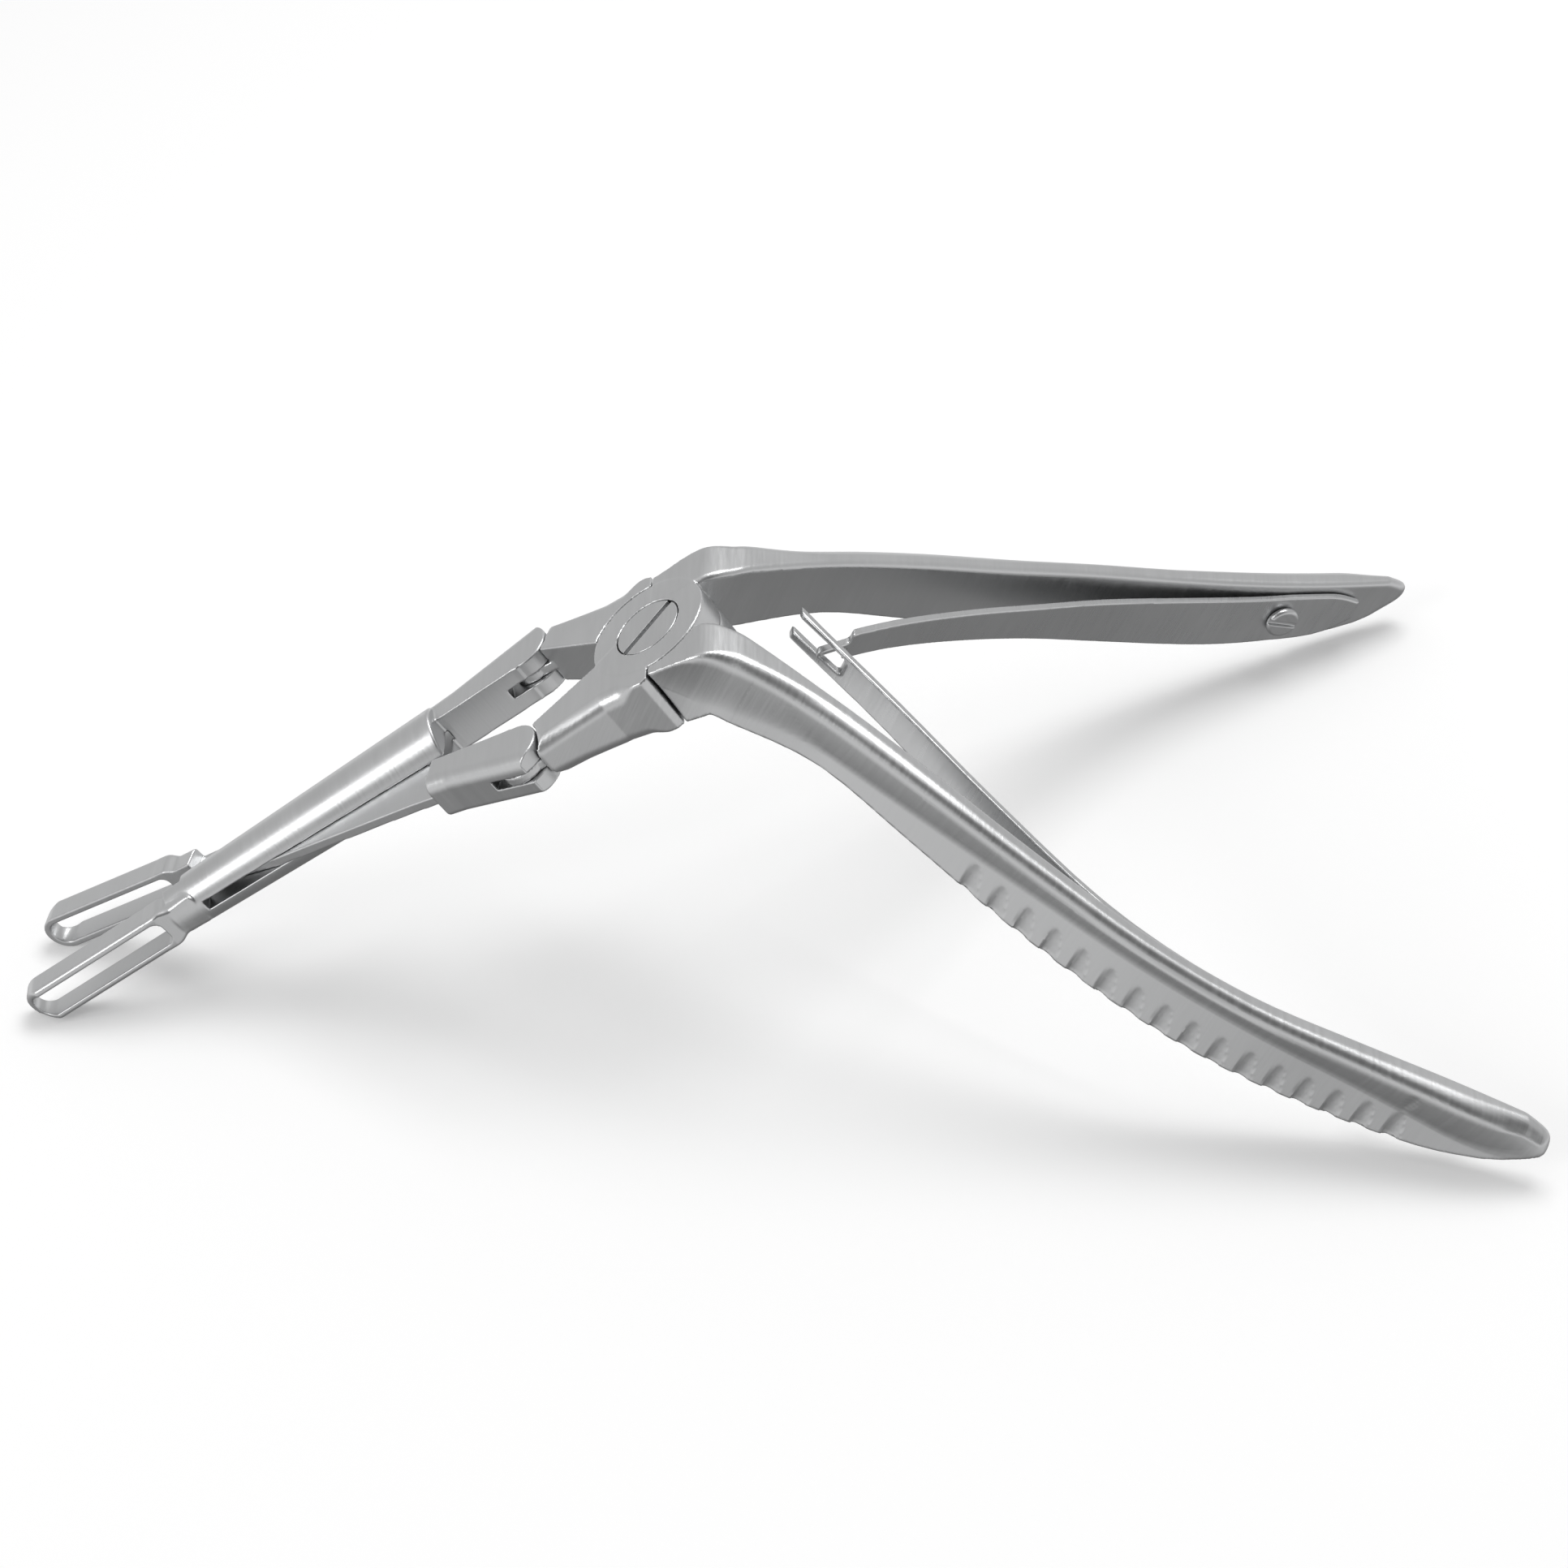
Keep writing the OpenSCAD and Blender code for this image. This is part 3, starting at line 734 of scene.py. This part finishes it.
class FORCEPS_OT_handles(bpy.types.Operator):
    """Build both handles with their joint halves, ribs and grip scallops"""
    bl_idname = "forceps.handles"
    bl_label = "Handles"

    def execute(self, context):
        settings = context.scene.forceps_finish
        finish = steel("handle_steel", settings, HANDLE_SPACE)
        far, near = handle_blocks(context.scene.forceps_sizes)
        make_piece("far_grip", far, HANDLE_SPACE, ["far_handle"], "far_handle", finish)
        make_piece("near_grip", near, MIRROR @ HANDLE_SPACE, ["near_handle"], "near_handle", finish)
        return {"FINISHED"}


class FORCEPS_OT_levers(bpy.types.Operator):
    """Build the two crossing jaw levers and finish the pins they turn on"""
    bl_idname = "forceps.levers"
    bl_label = "Jaw levers and pins"

    def execute(self, context):
        settings = context.scene.forceps_finish
        finish = steel("lever_steel", settings, JOINT_SPACE)
        top, bottom = lever_blocks(context.scene.forceps_sizes)
        place = Matrix.Translation((BOX_PIN.x, 0, 0)) @ Matrix.Rotation(JAW_SWING, 4, "Z")
        make_piece("top_jaw", top, JOINT_SPACE @ place, ["top_jaw_lever"], "top_lever", finish)
        make_piece("bottom_jaw", bottom, JOINT_SPACE @ MIRROR @ place, ["bottom_jaw_lever"], "bottom_lever",
                   finish)
        pins = steel("pin_steel", settings, JOINT_SPACE, tone=0.92, rough=0.05)
        for node in ("box_pin", "far_link_pin", "near_link_pin"):
            frame["nodes"][node].data.materials.clear()
            frame["nodes"][node].data.materials.append(pins)
        return {"FINISHED"}


class FORCEPS_OT_springs(bpy.types.Operator):
    """Build the forked and the tongued leaf spring, curved between their screws and tips"""
    bl_idname = "forceps.springs"
    bl_label = "Leaf springs"

    def execute(self, context):
        settings = context.scene.forceps_finish
        finish = steel("spring_steel", settings, HANDLE_SPACE, rough=-0.04)
        sizes = context.scene.forceps_sizes
        for side, forked in (("far", False), ("near", True)):
            block = spring_block(sizes, forked)
            place = MIRROR @ HANDLE_SPACE if side == "near" else HANDLE_SPACE
            leaf = make_piece(f"{side}_leaf", block, place, [f"{side}_spring"], None,
                              finish)
            for x in (SPRING_SCREW.x - 6, 34):
                y = float(spring_line(np.array(float(x))))
            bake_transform(leaf)
        return {"FINISHED"}


class FORCEPS_OT_screws(bpy.types.Operator):
    """Build the slotted pivot screw and the two spring screws"""
    bl_idname = "forceps.screws"
    bl_label = "Screws"

    def execute(self, context):
        settings = context.scene.forceps_finish
        sizes = context.scene.forceps_sizes
        finish = steel("screw_steel", settings, JOINT_SPACE, tone=0.97)
        block = pivot_screw_block(sizes)
        make_piece("joint_screw", block, JOINT_SPACE, ["pivot_screw"], "near_handle",
                   finish)
        lean = Matrix.Rotation(math.atan(handle_slope()), 4, "Z")
        tilt = lean @ Matrix.Rotation(math.radians(-90), 4, "X")
        place = HANDLE_SPACE @ Matrix.Translation(SPRING_SCREW) @ tilt
        small = spring_screw_block(sizes)
        for side, matrix in (("far", place), ("near", MIRROR @ place)):
            make_piece(f"{side}_leaf_screw", small, matrix, [f"{side}_spring_screw"], f"{side}_handle",
                       finish)
        return {"FINISHED"}


# Soft boxes: name, direction from the object, width and height, radiance
LAMPS = [
    ("top_softbox", (0.25, 0.30, 0.90), (0.60, 0.40), 4.6),
    ("left_softbox", (-0.70, -0.50, 0.50), (0.35, 0.40), 3.2),
]
LAMP_DISTANCE = 0.9


def ramp(nodes, links, source, stops):
    """A grey ramp over source; each stop is a place and a brightness."""
    node = nodes.new("ShaderNodeValToRGB")
    while len(node.color_ramp.elements) < len(stops):
        node.color_ramp.elements.new(0.5)
    for element, (place, grey) in zip(node.color_ramp.elements, stops):
        element.position = place
        element.color = (grey, grey, grey, 1)
    links.new(source, node.inputs["Fac"])
    return node.outputs["Color"]


def floor_paint():
    """A pale floor; the polished steel sees it through a painted shade, a glow darker straight below than
    towards the horizon.
    """
    paint = bpy.data.materials.new("pale_floor")
    paint.use_nodes = True
    nodes, links = paint.node_tree.nodes, paint.node_tree.links
    shader = nodes["Principled BSDF"]
    shader.inputs["Base Color"].default_value = (0.92, 0.92, 0.92, 1)
    shader.inputs["Emission Color"].default_value = (1, 1, 1, 1)
    shader.inputs["Emission Strength"].default_value = 0.13
    shader.inputs["Roughness"].default_value = 0.9
    shader.inputs["Specular IOR Level"].default_value = 0.1
    facing = nodes.new("ShaderNodeLayerWeight")
    facing.inputs["Blend"].default_value = 0.5
    # Painted shade for reflections: an emission that glossy rays see instead of the lit floor, darkest
    # where the steel looks straight down, standing in for the floor's shadow under the forceps.
    painted_shade_glow = nodes.new("ShaderNodeEmission")
    shade = ramp(nodes, links, facing.outputs["Facing"], [(0.05, 0.20), (0.35, 0.36), (0.75, 0.85)])
    links.new(shade, painted_shade_glow.inputs["Color"])
    path = nodes.new("ShaderNodeLightPath")
    mix = nodes.new("ShaderNodeMixShader")
    links.new(path.outputs["Is Glossy Ray"], mix.inputs["Fac"])
    links.new(shader.outputs["BSDF"], mix.inputs[1])
    links.new(painted_shade_glow.outputs["Emission"], mix.inputs[2])
    links.new(mix.outputs["Shader"], nodes["Material Output"].inputs["Surface"])
    return paint


def studio_world():
    """Soft light from all round, with a dark patch in front."""
    world = bpy.data.worlds.new("studio")
    world.use_nodes = True
    nodes, links = world.node_tree.nodes, world.node_tree.links
    place = nodes.new("ShaderNodeTexCoord")
    split = nodes.new("ShaderNodeSeparateXYZ")
    links.new(place.outputs["Generated"], split.inputs["Vector"])
    sky = ramp(nodes, links, split.outputs["Z"], [(0.0, 0.62), (0.5, 0.55), (0.9, 0.70)])
    towards = nodes.new("ShaderNodeVectorMath")
    towards.operation = "DOT_PRODUCT"
    towards.inputs[1].default_value = (0.07, -0.76, 0.64)
    links.new(place.outputs["Generated"], towards.inputs[0])
    shade = ramp(nodes, links, towards.outputs["Value"], [(0.72, 1.0), (0.93, 0.25)])
    dim = nodes.new("ShaderNodeMix")
    dim.data_type = "RGBA"
    dim.blend_type = "MULTIPLY"
    dim.inputs["Factor"].default_value = 1.0
    links.new(sky, dim.inputs["A"])
    links.new(shade, dim.inputs["B"])
    links.new(dim.outputs["Result"], nodes["Background"].inputs["Color"])
    nodes["Background"].inputs["Strength"].default_value = 1.0
    return world


class FORCEPS_OT_stage(bpy.types.Operator):
    """Add the pale floor, the soft lights and the camera"""
    bl_idname = "forceps.stage"
    bl_label = "Stage"

    def execute(self, context):
        scene = context.scene
        ground_z = CAD_BOX[0][2]
        floor = bpy.data.meshes.new("floor")
        span = 3.0
        corners = [(-span, -span), (span, -span), (span, span), (-span, span)]
        floor.from_pydata([(x, y, ground_z) for x, y in corners], [], [(0, 1, 2, 3)])
        floor.materials.append(floor_paint())
        ground = bpy.data.objects.new("floor", floor)
        scene.collection.objects.link(ground)
        scene.world = studio_world()
        aim = Vector((0.0, 0, -0.02))
        for name, towards, across, radiance in LAMPS:
            light = bpy.data.lights.new(name, "AREA")
            light.shape = "RECTANGLE"
            light.size, light.size_y = across
            light.energy = radiance * math.pi * across[0] * across[1]
            lamp = bpy.data.objects.new(name, light)
            lamp.location = aim + Vector(towards).normalized() * LAMP_DISTANCE
            lamp.rotation_euler = Vector(towards).to_track_quat("Z", "Y").to_euler()
            scene.collection.objects.link(lamp)

        lens = bpy.data.cameras.new("camera")
        lens.sensor_width = 36
        lens.lens = 69.43
        lens.clip_start = 0.01
        camera = bpy.data.objects.new("camera", lens)
        back = Vector((0.0654, -0.7620, 0.6442)).normalized()
        right = Vector((0.9947, -0.0012, -0.1024))
        right = (right - back * right.dot(back)).normalized()
        up = back.cross(right)
        pose = Matrix.Identity(4)
        for column, axis in enumerate((right, up, back)):
            pose.col[column].xyz = axis
        pose.translation = (0.03687, -0.30588, 0.23851)
        camera.matrix_world = pose
        scene.collection.objects.link(camera)
        scene.camera = camera
        scene.view_settings.view_transform = "Standard"
        return {"FINISHED"}


STEPS = (FORCEPS_OT_handles, FORCEPS_OT_levers, FORCEPS_OT_springs, FORCEPS_OT_screws, FORCEPS_OT_stage)


class FORCEPS_PT_panel(bpy.types.Panel):
    """Sizes, finish and building steps of the forceps"""
    bl_idname = "FORCEPS_PT_panel"
    bl_label = "Forceps"
    bl_space_type = "VIEW_3D"
    bl_region_type = "UI"
    bl_category = "Forceps"

    def draw(self, context):
        layout = self.layout
        for group in (context.scene.forceps_sizes, context.scene.forceps_finish):
            box = layout.box()
            for name in group.bl_rna.properties.keys():
                if name not in ("rna_type", "name"):
                    box.prop(group, name)
        for step in STEPS:
            layout.operator(step.bl_idname)


CLASSES = (ForcepsSizes, ForcepsFinish, *STEPS, FORCEPS_PT_panel)


def register():
    for cls in CLASSES:
        bpy.utils.register_class(cls)
    bpy.types.Scene.forceps_sizes = bpy.props.PointerProperty(type=ForcepsSizes)
    bpy.types.Scene.forceps_finish = bpy.props.PointerProperty(type=ForcepsFinish)


def unregister():
    del bpy.types.Scene.forceps_finish
    del bpy.types.Scene.forceps_sizes
    for cls in reversed(CLASSES):
        bpy.utils.unregister_class(cls)


def main():
    register()
    bpy.ops.forceps.handles()
    bpy.ops.forceps.levers()
    bpy.ops.forceps.springs()
    bpy.ops.forceps.screws()
    bpy.ops.forceps.stage()


if __name__ == "__main__":
    main()
